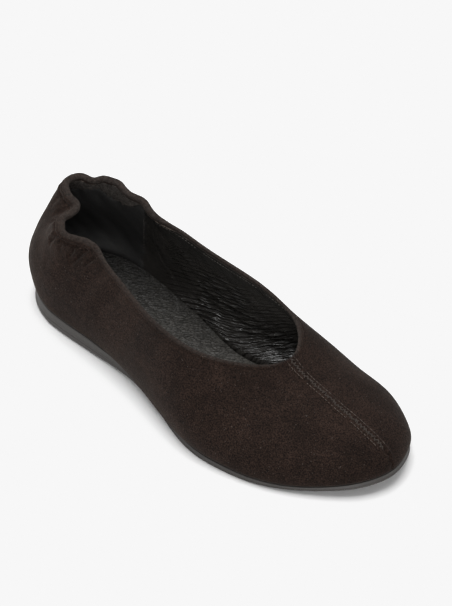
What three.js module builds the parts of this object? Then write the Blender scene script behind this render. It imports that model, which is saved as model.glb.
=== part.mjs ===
import * as THREE from 'three'

// A right ballet flat of suede with a heel edge drawn in by elastic, standing empty on its sole.
// Millimetres. +X runs from the heel to the toe, +Y to the inner side of the foot, +Z up.

const LENGTH = 250 // back of the heel to the tip of the toe, along the sole
const BALL = 92 // full width of the sole across the ball of the foot
const SEAT = 12 // top of the sole at the back of the heel
const FORE = 3.5 // top of the sole under the ball of the foot
const SPRING = 6 // rise of the underside at the tip of the toe
const ARCH = 2.4 // rise of the underside at the waist
const BACK = 64 // height of the heel edge above the floor
const SIDE = 53 // height of the top edge along the outer side
const THROAT = 41 // height of the vamp at the throat
const INNER_RISE = 5 // how much higher the top edge runs along the inner side

const WALL = 1.8 // suede with its leather lining
const CASING = 3.6 // the heel edge, folded over its elastic
const CASING_DEEP = 9 // depth of that fold below the edge
const SWELL = 4.5 // how far the wall swells out over the sole
const SWELL_AT = 23 // height above the sole where it swells most
const SEAM_RISE = 0.8 // the centre seam stands above the vamp
const SEAM_HALF = 3 // half of the seam's width
const FOLD_DEEP = 18 // how far down the wall the gathers reach
const WAIST_SET = 2 // the sole's edge lies this far under the wall at the waist
const GAP = 0.3 // between pieces that are laid together
const SOCK = 1.8 // thickness of the insole
const LIP = 0.5 // the lower edge of the sole stands out past its top edge

// Outline of the sole and crown of the last, from the tip of the toe to the back of the heel.
// Along is a share of LENGTH, across a share of BALL. The crown is where the wall that starts at
// this row would meet the centre line.
const OUTLINE = [
  { outerAlong: 0.998, outerAcross: 0.072, innerAlong: 0.998, innerAcross: 0.072, crownAlong: 0.870 },
  { outerAlong: 0.976, outerAcross: -0.121, innerAlong: 0.974, innerAcross: 0.258, crownAlong: 0.850 },
  { outerAlong: 0.927, outerAcross: -0.263, innerAlong: 0.934, innerAcross: 0.360, crownAlong: 0.822 },
  { outerAlong: 0.862, outerAcross: -0.395, innerAlong: 0.852, innerAcross: 0.457, crownAlong: 0.794 },
  { outerAlong: 0.782, outerAcross: -0.497, innerAlong: 0.770, innerAcross: 0.467, crownAlong: 0.752 },
  { outerAlong: 0.678, outerAcross: -0.559, innerAlong: 0.685, innerAcross: 0.443, crownAlong: 0.692 },
  { outerAlong: 0.582, outerAcross: -0.540, innerAlong: 0.595, innerAcross: 0.330, crownAlong: 0.607 },
  { outerAlong: 0.465, outerAcross: -0.461, innerAlong: 0.498, innerAcross: 0.240, crownAlong: 0.513 },
  { outerAlong: 0.359, outerAcross: -0.409, innerAlong: 0.372, innerAcross: 0.243, crownAlong: 0.424 },
  { outerAlong: 0.250, outerAcross: -0.394, innerAlong: 0.260, innerAcross: 0.253, crownAlong: 0.347 },
  { outerAlong: 0.135, outerAcross: -0.377, innerAlong: 0.138, innerAcross: 0.277, crownAlong: 0.281 },
  { outerAlong: 0.047, outerAcross: -0.295, innerAlong: 0.048, innerAcross: 0.188, crownAlong: 0.236 },
  { outerAlong: 0.011, outerAcross: -0.167, innerAlong: 0.010, innerAcross: 0.074, crownAlong: 0.219 },
  { outerAlong: 0.000, outerAcross: -0.048, innerAlong: 0.000, innerAcross: -0.048, crownAlong: 0.215 },
]
const HEEL = OUTLINE.length - 1 // place of the heel on the way round; the toe is at 0
const ROUND = 2 * HEEL // the way round from the toe, past the heel and back

// Height of the top of the sole along its length.
const SEAT_LINE = [
  { along: 0.00, height: SEAT },
  { along: 0.12, height: SEAT - 1.7 },
  { along: 0.25, height: SEAT - 3.1 },
  { along: 0.40, height: FORE + 2.1 },
  { along: 0.48, height: FORE + 0.5 },
  { along: 0.55, height: FORE - 0.2 },
  { along: 0.70, height: FORE },
  { along: 0.80, height: FORE + 0.3 },
  { along: 0.90, height: FORE + 1.9 },
  { along: 1.00, height: FORE + SPRING + 1.4 },
]

// Height of the crown above the floor. Behind the throat it lies in the open mouth and only leans the wall.
const CROWN_LINE = [
  { along: 0.10, height: THROAT + 48.3 },
  { along: 0.30, height: THROAT + 40.2 },
  { along: 0.50, height: THROAT + 49.8 },
  { along: 0.62, height: THROAT + 23.6 },
  { along: 0.735, height: THROAT - 1.7 },
  { along: 0.80, height: THROAT - 5.8 },
  { along: 0.87, height: THROAT - 8.8 },
]

// Height of the top edge, seen from the side.
const EDGE_LINE = [
  { along: 0.00, height: BACK },
  { along: 0.06, height: BACK - 1 },
  { along: 0.16, height: BACK - 0.9 },
  { along: 0.28, height: SIDE + 5.5 },
  { along: 0.42, height: SIDE + 0.7 },
  { along: 0.56, height: SIDE - 0.5 },
  { along: 0.66, height: THROAT + 6.5 },
  { along: 0.735, height: THROAT },
  { along: 0.80, height: THROAT - 1.9 },
]

// Gathers of the heel edge: how far the edge is moved along and across the foot and up, at places on
// the way round. Between them it is a natural cubic.
const GATHERS = [
  { at: 8.40, along: 0.0, across: 0.0, up: 0.0 },
  { at: 9.10, along: 0.6, across: -0.8, up: 0.1 },
  { at: 9.70, along: 0.3, across: -3.2, up: 0.7 },
  { at: 10.05, along: -1.8, across: -8.3, up: 0.0 },
  { at: 10.40, along: -2.0, across: -6.3, up: 0.6 },
  { at: 10.70, along: 0.1, across: -1.7, up: 1.1 },
  { at: 11.00, along: 5.0, across: 4.1, up: 0.9 },
  { at: 11.30, along: 6.5, across: 6.5, up: 1.0 },
  { at: 11.65, along: 4.6, across: 4.7, up: 1.0 },
  { at: 12.10, along: 1.4, across: 2.7, up: 1.3 },
  { at: 12.70, along: -2.0, across: 1.3, up: 1.9 },
  { at: 13.30, along: -3.3, across: 1.4, up: 2.3 },
  { at: 13.90, along: -2.8, across: 1.6, up: 2.2 },
  { at: 14.30, along: -1.6, across: 0.8, up: 1.4 },
  { at: 14.65, along: -0.8, across: 0.0, up: 0.9 },
  { at: 15.00, along: -2.7, across: 1.2, up: 2.0 },
  { at: 15.30, along: -2.7, across: 1.6, up: 2.2 },
  { at: 15.60, along: -2.5, across: 0.9, up: 2.0 },
  { at: 15.90, along: -1.6, across: -1.3, up: 1.1 },
  { at: 16.20, along: -0.2, across: 0.0, up: 1.3 },
  { at: 16.50, along: 0.4, across: -1.4, up: 0.7 },
  { at: 16.90, along: 0.0, across: -1.4, up: 0.8 },
  { at: 17.40, along: 0.0, across: -0.1, up: 0.6 },
  { at: 17.90, along: 0.0, across: 0.0, up: 0.0 },
]

// Places on the way round, from the toe. They lie close together at the seam, the throat and the gathers.
const TOE_PLACES = [0, 0.05, 0.12, 0.2, 0.32, 0.5, 0.72, 1]
const THROAT_STEPS = [0.012, 0.045, 0.1, 0.18, 0.29, 0.43, 0.6]
const SHARES_UP = [0, 0.05, 0.12, 0.22, 0.34, 0.46, 0.58, 0.69, 0.79, 0.87, 0.925, 0.96, 0.985, 1]
const LINING_ROWS = [0, 1, 3, 5, 7, 9, 10, 11, 12, 13]

function naturalCurve (rows) {
  const n = rows.length
  const bend = new Array(n).fill(0)
  const weight = new Array(n).fill(0)
  for (let i = 1; i < n - 1; i++) {
    const before = rows[i][0] - rows[i - 1][0]
    const after = rows[i + 1][0] - rows[i][0]
    const turn = (rows[i + 1][1] - rows[i][1]) / after - (rows[i][1] - rows[i - 1][1]) / before
    const pivot = 2 * (before + after) - before * weight[i - 1]
    weight[i] = after / pivot
    bend[i] = (6 * turn - before * bend[i - 1]) / pivot
  }
  for (let i = n - 2; i > 0; i--) {
    bend[i] -= weight[i] * bend[i + 1]
  }
  return x => {
    let i = 0
    while (i < n - 2 && x > rows[i + 1][0]) {
      i++
    }
    const span = rows[i + 1][0] - rows[i][0]
    const b = (x - rows[i][0]) / span
    const a = 1 - b
    const curve = (a * a * a - a) * bend[i] + (b * b * b - b) * bend[i + 1]
    return a * rows[i][1] + b * rows[i + 1][1] + curve * span * span / 6
  }
}

function closedCurve (points) {
  const n = points.length
  const at = i => points[(i + n) % n]
  let slopes = points.map((point, i) => point.map((value, k) => (at(i + 1)[k] - at(i - 1)[k]) / 2))
  for (let pass = 0; pass < 50; pass++) {
    const last = slopes
    slopes = points.map((point, i) => point.map((value, k) => {
      const rise = 3 * (at(i + 1)[k] - at(i - 1)[k])
      return (rise - last[(i + n - 1) % n][k] - last[(i + 1) % n][k]) / 4
    }))
  }
  return place => {
    const p = ((place % n) + n) % n
    const i = Math.floor(p) % n
    const j = (i + 1) % n
    const t = p - Math.floor(p)
    const toNext = t * t * (3 - 2 * t)
    return points[i].map((value, k) => (
      value * (1 - toNext) + points[j][k] * toNext +
      slopes[i][k] * t * (1 - t) * (1 - t) - slopes[j][k] * t * t * (1 - t)
    ))
  }
}

const alongLength = rows => naturalCurve(rows.map(row => [row.along * LENGTH, row.height]))
const seat = alongLength(SEAT_LINE)
const crown = alongLength(CROWN_LINE)
const edge = alongLength(EDGE_LINE)

const outerSide = OUTLINE.map(row => [row.outerAlong * LENGTH, row.outerAcross * BALL, row.crownAlong * LENGTH])
const innerSide = OUTLINE.map(row => [row.innerAlong * LENGTH, row.innerAcross * BALL, row.crownAlong * LENGTH])
const outline = closedCurve([...outerSide, ...innerSide.slice(1, -1).reverse()])

// A soft bump of height 1 between two shares of the length, and 0 outside them.
function hump (share, from, to) {
  if (share <= from || share >= to) {
    return 0
  }
  return 0.5 - 0.5 * Math.cos(2 * Math.PI * (share - from) / (to - from))
}

function underside (x) {
  const share = x / LENGTH
  const toe = Math.max(0, (share - 0.76) / 0.24)
  return ARCH * hump(share, 0.24, 0.6) + SPRING * Math.pow(toe, 1.8)
}

function crownAcross (x) {
  const share = Math.min(1.2, Math.max(0, (x / LENGTH - 0.3) / 0.6))
  return 0.0366 * BALL * share
}

function topEdge (place, x) {
  const inner = place > HEEL ? INNER_RISE * hump(x / LENGTH, 0.33, 0.67) : 0
  return edge(x) + inner
}

// One ray of the last: it starts at the sole's edge and leans in to the crown.
function ray (place) {
  const [x, y, crownX] = outline(place)
  const crownY = crownAcross(crownX)
  const reach = Math.hypot(x - crownX, y - crownY)
  const slope = (crown(crownX + 0.01) - crown(crownX - 0.01)) / 0.02
  const ux = (x - crownX) / reach
  const uy = (y - crownY) / reach
  return { x, y, z: seat(x) + GAP, crownX, crownY, crownZ: crown(crownX), reach, ux, uy, lean: -ux * slope }
}

// A point of the last on that ray, from the sole at angle 0 to the crown at a quarter turn.
function onLast (r, angle) {
  const inward = r.reach * (1 - Math.cos(angle))
  const rise = (r.crownZ - r.z - r.lean * r.reach) * Math.sin(angle) + r.lean * inward
  const full = rise / SWELL_AT
  const swell = SWELL * full * Math.exp(1 - full) * Math.cos(angle)
  const out = r.reach * Math.cos(angle) + swell
  return new THREE.Vector3(r.crownX + r.ux * out, r.crownY + r.uy * out, r.z + rise)
}

function topAngle (place, r) {
  const past = angle => {
    const point = onLast(r, angle)
    return point.z - topEdge(place, point.x)
  }
  if (past(Math.PI / 2) <= 0) {
    return Math.PI / 2
  }
  let low = 0
  let high = Math.PI / 2
  for (let step = 0; step < 40; step++) {
    const middle = (low + high) / 2
    if (past(middle) > 0) {
      high = middle
    } else {
      low = middle
    }
  }
  return high
}

function findThroat () {
  let shut = 3
  let open = 6
  for (let step = 0; step < 50; step++) {
    const middle = (shut + open) / 2
    if (topAngle(middle, ray(middle)) < Math.PI / 2) {
      open = middle
    } else {
      shut = middle
    }
  }
  return shut
}

const gathered = ['along', 'across', 'up'].map(way => naturalCurve(GATHERS.map(row => [row.at, row[way]])))

// The gathers are full at the edge and die away down the wall.
function gather (place, depth) {
  if (place <= GATHERS[0].at || place >= GATHERS[GATHERS.length - 1].at) {
    return new THREE.Vector3()
  }
  const fade = Math.exp(-depth * depth / (FOLD_DEEP * FOLD_DEEP))
  return new THREE.Vector3(...gathered.map(curve => curve(place))).multiplyScalar(fade)
}

// The centre seam as a line: up the toe from the sole, then back along the crown to the throat.
const throat = findThroat()
const seamLine = []
for (let step = 0; step <= 24; step++) {
  seamLine.push(onLast(ray(0), Math.PI / 2 * step / 24))
}
for (let step = 1; step <= 30; step++) {
  seamLine.push(onLast(ray(throat * step / 30), Math.PI / 2))
}

function seamRise (point) {
  const closest = new THREE.Vector3()
  const part = new THREE.Line3()
  let away = Infinity
  for (let i = 1; i < seamLine.length; i++) {
    part.set(seamLine[i - 1], seamLine[i])
    part.closestPointToPoint(point, true, closest)
    away = Math.min(away, closest.distanceTo(point))
  }
  return away < SEAM_HALF ? SEAM_RISE * (0.5 + 0.5 * Math.cos(Math.PI * away / SEAM_HALF)) : 0
}

function casing (place, depth) {
  const from = Math.min(1, Math.max(0, (place - 9.1) / 0.7))
  const to = Math.min(1, Math.max(0, (17.0 - place) / 0.7))
  const down = Math.min(1, Math.max(0, (CASING_DEEP + 0.8 - depth) / 1.6))
  return (CASING - WALL) * from * to * down
}

// A closed surface put together from named corners, so that shared corners are one vertex.
class Skin {
  constructor () {
    this.corners = new Map()
    this.positions = []
    this.faces = []
  }

  corner (name, point) {
    if (!this.corners.has(name)) {
      this.corners.set(name, this.positions.length / 3)
      this.positions.push(point.x, point.y, point.z)
    }
    return this.corners.get(name)
  }

  quad (a, b, c, d) {
    this.triangle(a, b, c)
    this.triangle(a, c, d)
  }

  triangle (a, b, c) {
    if (a !== b && b !== c && a !== c) {
      this.faces.push(a, b, c)
    }
  }

  geometry () {
    const geometry = new THREE.BufferGeometry()
    geometry.setAttribute('position', new THREE.Float32BufferAttribute(this.positions, 3))
    geometry.setIndex(this.faces)
    geometry.computeVertexNormals()
    return geometry
  }
}

// Both sides share one list of places, so that each place has its partner across the centre line.
function bothSides (half) {
  const back = half.slice(1, -1).reverse().map(place => ROUND - place)
  return [...half, ...back]
}

function upperPlaces () {
  const half = [...TOE_PLACES]
  const toThroat = Math.ceil((throat - 1) / 0.32)
  for (let i = 1; i <= toThroat; i++) {
    half.push(1 + (throat - 1) * i / toThroat)
  }
  half.push(...THROAT_STEPS.map(step => throat + step))
  const start = half[half.length - 1]
  const gathers = 9.2
  const toGathers = Math.ceil((gathers - start) / 0.36)
  for (let i = 1; i <= toGathers; i++) {
    half.push(start + (gathers - start) * i / toGathers)
  }
  const toHeel = 30
  for (let i = 1; i <= toHeel; i++) {
    half.push(gathers + (HEEL - gathers) * i / toHeel)
  }
  return half
}

function makeUpper () {
  const half = upperPlaces()
  const places = bothSides(half)
  const throatIndex = TOE_PLACES.length - 1 + Math.ceil((throat - 1) / 0.32)
  const count = places.length
  const top = SHARES_UP.length - 1
  const shut = i => i <= throatIndex || i >= count - throatIndex
  const name = (side, i, row) => {
    const own = row === top && shut(i) && i > 0 ? Math.min(i, count - i) : i
    return `${side} ${own} ${row}`
  }

  const rays = places.map(ray)
  const base = places.map((place, i) => {
    const angle = shut(i) ? Math.PI / 2 : topAngle(place, rays[i])
    return SHARES_UP.map(share => onLast(rays[i], angle * share))
  })
  const depths = base.map(column => {
    const depth = new Array(column.length).fill(0)
    for (let row = top - 1; row >= 0; row--) {
      depth[row] = depth[row + 1] + column[row].distanceTo(column[row + 1])
    }
    return depth
  })
  for (let i = 0; i < count; i++) {
    for (let row = 1; row <= top && !shut(i); row++) {
      base[i][row].add(gather(places[i], depths[i][row]))
    }
  }

  const shell = new Skin()
  for (let i = 0; i < count; i++) {
    const j = (i + 1) % count
    for (let row = 0; row < top; row++) {
      shell.quad(
        shell.corner(name('outer', i, row), base[i][row]),
        shell.corner(name('outer', i, row + 1), base[i][row + 1]),
        shell.corner(name('outer', j, row + 1), base[j][row + 1]),
        shell.corner(name('outer', j, row), base[j][row])
      )
    }
  }
  const facing = shell.geometry().getAttribute('normal')
  const normal = (i, row) => {
    const at = shell.corners.get(name('outer', i, row))
    const out = new THREE.Vector3().fromBufferAttribute(facing, at)
    if (row === 0) {
      out.setZ(0).normalize()
    }
    return out
  }
  const thickness = (i, row) => WALL + (shut(i) ? 0 : casing(places[i], depths[i][row]))

  const skin = new Skin()
  const outer = (i, row) => {
    const point = base[i][row].clone()
    return skin.corner(name('outer', i, row), point.addScaledVector(normal(i, row), seamRise(point)))
  }
  const inner = (i, row) => {
    const point = base[i][row].clone()
    return skin.corner(name('inner', i, row), point.addScaledVector(normal(i, row), -thickness(i, row)))
  }
  const lip = (i, share) => {
    const upward = base[i][top].clone().sub(base[i][top - 1]).normalize()
    const thick = thickness(i, top)
    const point = base[i][top].clone()
    point.addScaledVector(normal(i, top), -thick * share)
    point.addScaledVector(upward, thick * 0.32)
    return skin.corner(name(`lip ${share}`, i, top), point)
  }
  for (let i = 0; i < count; i++) {
    const j = (i + 1) % count
    for (let row = 0; row < top; row++) {
      skin.quad(outer(i, row), outer(i, row + 1), outer(j, row + 1), outer(j, row))
    }
    for (let k = 1; k < LINING_ROWS.length; k++) {
      const low = LINING_ROWS[k - 1]
      const high = LINING_ROWS[k]
      skin.quad(inner(i, low), inner(j, low), inner(j, high), inner(i, high))
    }
    skin.quad(outer(i, 0), outer(j, 0), inner(j, 0), inner(i, 0))
    if (!shut(i) || !shut(j)) {
      skin.quad(outer(i, top), lip(i, 0.25), lip(j, 0.25), outer(j, top))
      skin.quad(lip(i, 0.25), lip(i, 0.75), lip(j, 0.75), lip(j, 0.25))
      skin.quad(lip(i, 0.75), inner(i, top), inner(j, top), lip(j, 0.75))
    }
  }
  return skin.geometry()
}

// Sole and insole: rings that shrink from the outline to the centre line, below and above.
function plate (rings) {
  const half = []
  const steps = 44
  for (let i = 0; i <= steps; i++) {
    half.push(HEEL * i / steps)
  }
  const places = bothSides(half)
  const count = places.length
  const skin = new Skin()
  const corner = (i, k) => {
    const ring = rings[k]
    const own = ring.share === 0 && i > steps ? count - i : i
    return skin.corner(`${own} ${k}`, ring.point(places[i], ring.share))
  }
  for (let i = 0; i < count; i++) {
    const j = (i + 1) % count
    for (let k = 1; k < rings.length; k++) {
      skin.quad(corner(i, k - 1), corner(i, k), corner(j, k), corner(j, k - 1))
    }
  }
  return skin.geometry()
}

// How far the sole's edge lies inside the outline at the waist.
const waistSet = x => WAIST_SET * hump(x / LENGTH, 0.27, 0.68)

// A point of the plan: at share 1 it lies inside the outline by the set, square to its edge.
function inPlan (place, share, set) {
  const r = ray(place)
  const before = outline(place - 0.01)
  const after = outline(place + 0.01)
  const alongX = after[0] - before[0]
  const alongY = after[1] - before[1]
  const step = set / Math.hypot(alongX, alongY)
  const edgeX = r.x + alongY * step
  const edgeY = r.y - alongX * step
  return [r.crownX + (edgeX - r.crownX) * share, r.crownY + (edgeY - r.crownY) * share]
}

function solePoint (level, set) {
  return (place, share) => {
    const [x, y] = inPlan(place, share, set + waistSet(outline(place)[0]))
    const low = underside(x)
    const high = seat(x)
    return new THREE.Vector3(x, y, low + (high - low) * level)
  }
}

const soleRings = [
  { share: 0, point: solePoint(0, 0) },
  { share: 0.5, point: solePoint(0, 0) },
  { share: 1, point: solePoint(0, 1.2 - LIP) },
  { share: 1, point: solePoint(0.14, 0.1 - LIP) },
  { share: 1, point: solePoint(0.42, -LIP) },
  { share: 1, point: solePoint(0.55, 0) },
  { share: 1, point: solePoint(0.93, 0) },
  { share: 1, point: solePoint(1, 0.4) },
  { share: 0.5, point: solePoint(1, 0) },
  { share: 0, point: solePoint(1, 0) },
]

function sockPoint (height, set) {
  return (place, share) => {
    const [x, y] = inPlan(place, share, WALL + GAP + set)
    return new THREE.Vector3(x, y, seat(x) + height)
  }
}

const sockRings = [
  { share: 0, point: sockPoint(GAP, 0) },
  { share: 0.5, point: sockPoint(GAP, 0) },
  { share: 1, point: sockPoint(GAP, 0) },
  { share: 1, point: sockPoint(GAP + SOCK * 0.8, 0) },
  { share: 1, point: sockPoint(GAP + SOCK, 0.5) },
  { share: 0.5, point: sockPoint(GAP + SOCK, 0) },
  { share: 0, point: sockPoint(GAP + SOCK, 0) },
]

const suede = new THREE.MeshStandardMaterial({ color: 0x312824, roughness: 0.95, metalness: 0 })
const rubber = new THREE.MeshStandardMaterial({ color: 0x55524e, roughness: 0.6, metalness: 0 })
const leather = new THREE.MeshStandardMaterial({ color: 0x272523, roughness: 0.5, metalness: 0 })

function piece (name, geometry, material) {
  const mesh = new THREE.Mesh(geometry, material)
  mesh.name = name
  return mesh
}

const shoe = new THREE.Group()
shoe.add(piece('outsole', plate(soleRings), rubber))
shoe.add(piece('insole', plate(sockRings), leather))
shoe.add(piece('upper', makeUpper(), suede))

// The origin is on the floor under the middle of the shoe.
const box = new THREE.Box3().setFromObject(shoe)
const centre = box.getCenter(new THREE.Vector3())
for (const mesh of shoe.children) {
  mesh.position.set(-centre.x, -centre.y, -box.min.z)
}

export default shoe
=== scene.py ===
import math
from functools import lru_cache, reduce

import bpy
import numpy as np
from bpy.props import FloatProperty, FloatVectorProperty, IntProperty, PointerProperty
from mathutils import Matrix, Vector


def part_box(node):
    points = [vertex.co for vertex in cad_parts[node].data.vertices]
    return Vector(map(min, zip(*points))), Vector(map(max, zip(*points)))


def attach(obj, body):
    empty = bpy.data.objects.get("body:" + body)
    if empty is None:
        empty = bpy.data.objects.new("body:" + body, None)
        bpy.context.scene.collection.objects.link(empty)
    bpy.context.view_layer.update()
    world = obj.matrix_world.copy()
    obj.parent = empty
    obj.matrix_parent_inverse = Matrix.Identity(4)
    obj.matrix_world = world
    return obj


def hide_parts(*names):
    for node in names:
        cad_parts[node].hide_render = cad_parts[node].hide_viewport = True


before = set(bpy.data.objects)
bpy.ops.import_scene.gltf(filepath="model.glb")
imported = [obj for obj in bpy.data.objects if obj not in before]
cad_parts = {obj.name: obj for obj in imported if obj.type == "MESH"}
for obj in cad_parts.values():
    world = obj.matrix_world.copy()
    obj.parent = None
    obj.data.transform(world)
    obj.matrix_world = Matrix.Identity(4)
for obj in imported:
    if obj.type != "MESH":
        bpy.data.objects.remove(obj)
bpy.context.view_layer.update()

bl_info = {
    "name": "Gathered Ballet Flat",
    "version": (1, 0, 0),
    "blender": (4, 5, 0),
    "location": "View3D > Sidebar > Flat",
    "description": "Builds a right suede ballet flat with a gathered heel edge over its CAD frame",
    "category": "Object",
}

# Sizes of the last, in millimetres.
LENGTH = 250.0
BALL = 92.0
SEAT = 12.0
FORE = 3.5
SPRING = 6.0
ARCH = 2.4
BACK = 64.0
SIDE = 53.0
THROAT = 41.0
INNER_RISE = 5.0
SWELL = 4.5
SWELL_AT = 23.0

# How far the crown lies to the inner side at the toe, as a share of BALL.
CROWN_SET = 0.0366

# How far down or up the wall a move of its edge is felt, in millimetres.
FOLD_DEEP = 18.0
RISE_DEEP = 13.0
RIM_HIGH = 6.5

# Layers, seams and threads, in millimetres.
WAIST_SET = 2.0
GAP = 0.3
WALL = 1.8
CASING = 3.6
LIP = 0.5
SOCK = 1.8
SOCK_ROUND = 0.6
SUEDE = 1.0
SEAM_HALF = 3.0
GROOVE_HALF = 0.5
STITCH_PITCH = 2.35
STITCH_SET = 2.35
ZIGZAG_PITCH = 1.0
EDGE_PITCH = 2.2
COUNTER_PITCH = 2.1
BEAD = 0.40

# Places on the way round where the heel counter ends, on the outer and on the inner side.
COUNTER_ENDS = (9.70, 16.34)

# Stage: the point that the camera looks at, in millimetres from the last's own origin; then, in metres, half
# the floor's width and each light's name, place and size.
AIM = np.array((107.4845, 23.1522, 25.0))
FLOOR_HALF = 6.0
LIGHTS = (("Key", (-0.40, 0.20, 1.96), 2.0), ("Fill", (1.76, -1.64, 0.65), 1.3))

# shares of LENGTH and BALL: outer along, outer across, inner along, inner across, crown along
OUTLINE = np.array([
    (0.998, 0.072, 0.998, 0.072, 0.870),
    (0.976, -0.121, 0.974, 0.258, 0.850),
    (0.927, -0.263, 0.934, 0.360, 0.822),
    (0.862, -0.395, 0.852, 0.457, 0.794),
    (0.782, -0.497, 0.770, 0.467, 0.752),
    (0.678, -0.559, 0.685, 0.443, 0.692),
    (0.582, -0.540, 0.595, 0.330, 0.607),
    (0.465, -0.461, 0.498, 0.240, 0.513),
    (0.359, -0.409, 0.372, 0.243, 0.424),
    (0.250, -0.394, 0.260, 0.253, 0.347),
    (0.135, -0.377, 0.138, 0.277, 0.281),
    (0.047, -0.295, 0.048, 0.188, 0.236),
    (0.011, -0.167, 0.010, 0.074, 0.219),
    (0.000, -0.048, 0.000, -0.048, 0.215),
])
HEEL = len(OUTLINE) - 1
ROUND = 2 * HEEL

# share of LENGTH, height in millimetres
SEAT_LINE = ((0.00, SEAT), (0.12, SEAT - 1.7), (0.25, SEAT - 3.1), (0.40, FORE + 2.1), (0.48, FORE + 0.5),
             (0.55, FORE - 0.2), (0.70, FORE), (0.80, FORE + 0.3), (0.90, FORE + 1.9),
             (1.00, FORE + SPRING + 1.4))
CROWN_LINE = ((0.10, THROAT + 48.3), (0.30, THROAT + 40.2), (0.50, THROAT + 49.8), (0.62, THROAT + 23.6),
              (0.735, THROAT - 1.7), (0.80, THROAT - 5.8), (0.87, THROAT - 8.8))
EDGE_LINE = ((0.00, BACK), (0.06, BACK - 1.0), (0.16, BACK - 0.9), (0.28, SIDE + 5.5), (0.42, SIDE + 0.7),
             (0.56, SIDE - 0.5), (0.66, THROAT + 6.5), (0.735, THROAT), (0.80, THROAT - 1.9))

# gathers of the heel edge: place on the way round, moved along, across and up, in millimetres
GATHERS = ((8.40, 0.0, 0.0, 0.0), (9.10, 0.6, -0.8, 0.1), (9.70, 0.3, -3.2, 0.7), (10.05, -1.8, -8.3, 0.0),
           (10.40, -2.0, -6.3, 0.6), (10.70, 0.1, -1.7, 1.1), (11.00, 5.0, 4.1, 0.9), (11.30, 6.5, 6.5, 1.0),
           (11.65, 4.6, 4.7, 1.0), (12.10, 1.4, 2.7, 1.3), (12.70, -2.0, 1.3, 1.9), (13.30, -3.3, 1.4, 2.3),
           (13.90, -2.8, 1.6, 2.2), (14.30, -1.6, 0.8, 1.4), (14.65, -0.8, 0.0, 0.9), (15.00, -2.7, 1.2, 2.0),
           (15.30, -2.7, 1.6, 2.2), (15.60, -2.5, 0.9, 2.0), (15.90, -1.6, -1.3, 1.1),
           (16.20, -0.2, 0.0, 1.3),
           (16.50, 0.4, -1.4, 0.7), (16.90, 0.0, -1.4, 0.8), (17.40, 0.0, -0.1, 0.6), (17.90, 0.0, 0.0, 0.0))

# the sole's edge and the suede's lower edge: place, moved out, moved down, in millimetres
RIM = ((0.0, 0.8, 1.2), (1.0, 1.2, 1.0), (2.0, 1.3, 0.9), (3.0, 1.3, 0.9), (4.0, 1.2, 0.8), (4.6, 0.6, 0.4),
       (5.4, 0.0, 0.0), (8.4, 0.0, 0.0), (9.0, 0.5, 0.4), (9.5, 1.2, 0.9), (10.0, 1.8, 1.3), (10.4, 1.2, 1.5),
       (10.8, 0.0, 1.5), (11.2, -1.4, 1.2), (11.8, -1.8, 0.8), (12.6, -1.6, 0.5), (13.5, -1.2, 0.0),
       (15.0, 0.0, 0.0), (24.5, 0.0, 0.0), (25.2, 0.2, 0.7), (26.0, 0.8, 1.2))

# the opening's edge from the heel's crest along the inner side: place, moved up, in millimetres
RISE = ((12.9, 0.0), (13.3, 0.4), (13.7, 1.0), (14.05, 1.5), (14.4, 1.8), (14.9, 1.3), (15.3, 1.4),
        (15.6, 1.9),
        (15.9, 2.2), (16.3, 2.4), (16.55, 2.1), (16.8, 1.5), (17.05, 1.4), (17.45, 1.9), (17.9, 1.9),
        (18.3, 1.3), (18.7, 0.8), (19.4, 0.7), (19.7, 0.2), (20.1, -0.6), (20.6, -0.3), (21.1, 0.0))

# creases pressed in the suede below the heel edge by the gathers: start (place, depth), end (place, depth),
# half width and depth in millimetres; first the outer side, then the inner side, then wide soft folds
CREASES = (
    (11.24, 5.0, 11.40, 15.0, 1.4, 0.50), (10.72, 4.4, 11.10, 14.0, 1.5, 0.50),
    (10.21, 4.6, 10.30, 16.0, 1.4, 1.45), (9.97, 4.8, 9.97, 13.0, 1.1, 0.95),
    (9.76, 4.8, 9.72, 16.5, 1.2, 1.30),
    (9.54, 4.4, 9.66, 19.0, 1.3, 1.40), (9.24, 3.4, 9.36, 12.0, 1.0, 0.90),
    (12.00, 4.0, 12.00, 13.0, 1.6, 0.40),
    (12.60, 4.0, 12.75, 11.0, 1.4, 0.35), (13.60, 4.0, 13.70, 12.0, 1.2, 0.45),
    (14.35, 4.0, 14.40, 13.0, 1.1, 0.60), (14.70, 3.6, 14.60, 9.0, 0.9, 0.50),
    (15.12, 4.0, 15.20, 12.0, 1.0, 0.60), (15.50, 3.6, 15.40, 14.0, 1.1, 0.70),
    (15.85, 3.6, 15.90, 10.0, 1.0, 0.60), (16.30, 3.4, 16.40, 12.0, 1.0, 0.45),
    (16.75, 3.4, 16.80, 8.0, 0.9, 0.40), (8.85, 5.0, 9.25, 30.0, 4.0, 0.55),
    (9.55, 15.0, 9.90, 34.0, 3.6, 0.50),
    (8.20, 7.0, 8.60, 30.0, 4.5, 0.40), (10.70, 16.0, 10.50, 38.0, 3.6, 0.30),
    (11.70, 14.0, 11.50, 34.0, 3.2, 0.40), (7.30, 9.0, 7.60, 28.0, 4.5, 0.25),
    (15.30, 14.0, 15.60, 34.0, 3.6, 0.45), (16.90, 9.0, 16.60, 32.0, 4.0, 0.40),
)

# relief beside the top edge, rolled at the heel and plain along the sides: height, distance in, half width
ROLLED = ((0.32, 1.5, 1.2), (-0.50, 3.5, 0.65), (0.22, 5.6, 1.5))
PLAIN = ((0.12, 1.0, 0.9), (-0.22, 2.5, 0.5))

# depth of the facing's lower edge inside: place, millimetres
FACING = ((8.7, 2.2), (9.5, 6.0), (10.2, 9.0), (11.0, 10.0), (12.0, 10.5), (13.0, 11.5), (14.1, 12.9),
          (14.7, 10.4), (15.1, 12.5), (15.37, 16.6), (15.55, 18.4), (15.8, 16.5), (16.0, 13.0), (16.15, 6.0),
          (16.6, 4.6), (17.3, 2.2))

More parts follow.
